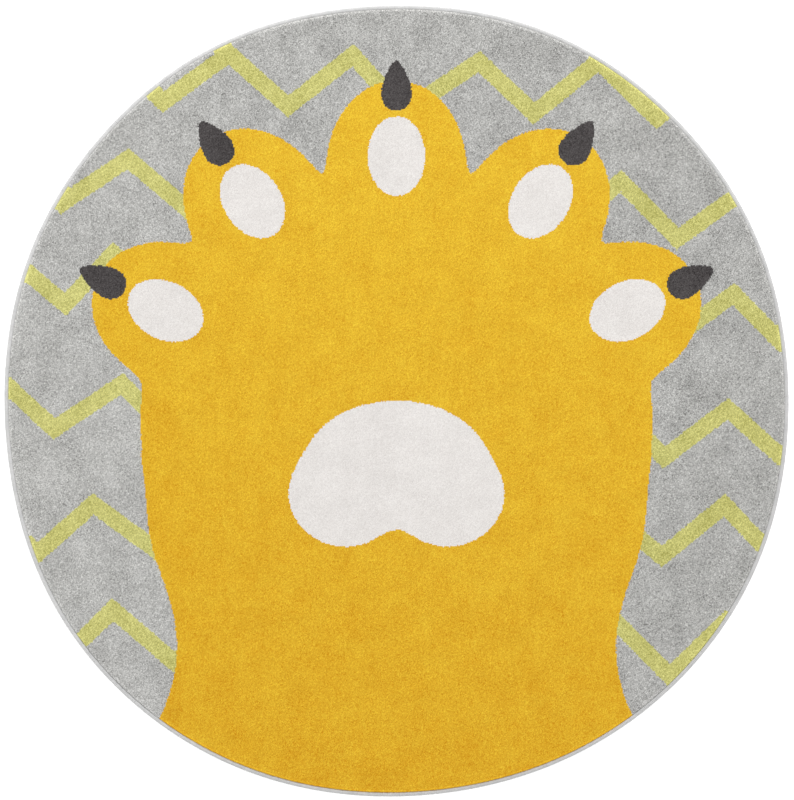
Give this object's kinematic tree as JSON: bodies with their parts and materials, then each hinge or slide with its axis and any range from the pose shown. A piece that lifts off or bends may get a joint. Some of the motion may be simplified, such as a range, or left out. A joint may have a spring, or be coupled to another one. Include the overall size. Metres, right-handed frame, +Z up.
{
  "type": "round kids rug",
  "caption": "Round short-pile kids rug with an overlocked edge and a paw on zigzag rows; it lies flat on the floor.",
  "frame": {"origin": "middle of the rug's outline, on the underside that lies on the floor", "axes": "+Z up through the pile; +Y towards the top of the design; +X to its right"},
  "size_m": [1.5826, 1.5962, 0.011],
  "materials": {
    "pile_mustard": "short cut pile, matt",
    "binding_yarn": "overlocked yarn, matt",
    "pile_grey": "short cut pile, heathered, matt",
    "pile_lime": "short cut pile, heathered, matt",
    "pile_cream": "short cut pile, matt",
    "pile_charcoal": "short cut pile, matt",
    "woven_backing": "plain woven back, matt"
  },
  "bodies": {
    "root": {"rug_cloth": "pile_mustard", "edge_binding": "binding_yarn"}
  },
  "joints": []
}
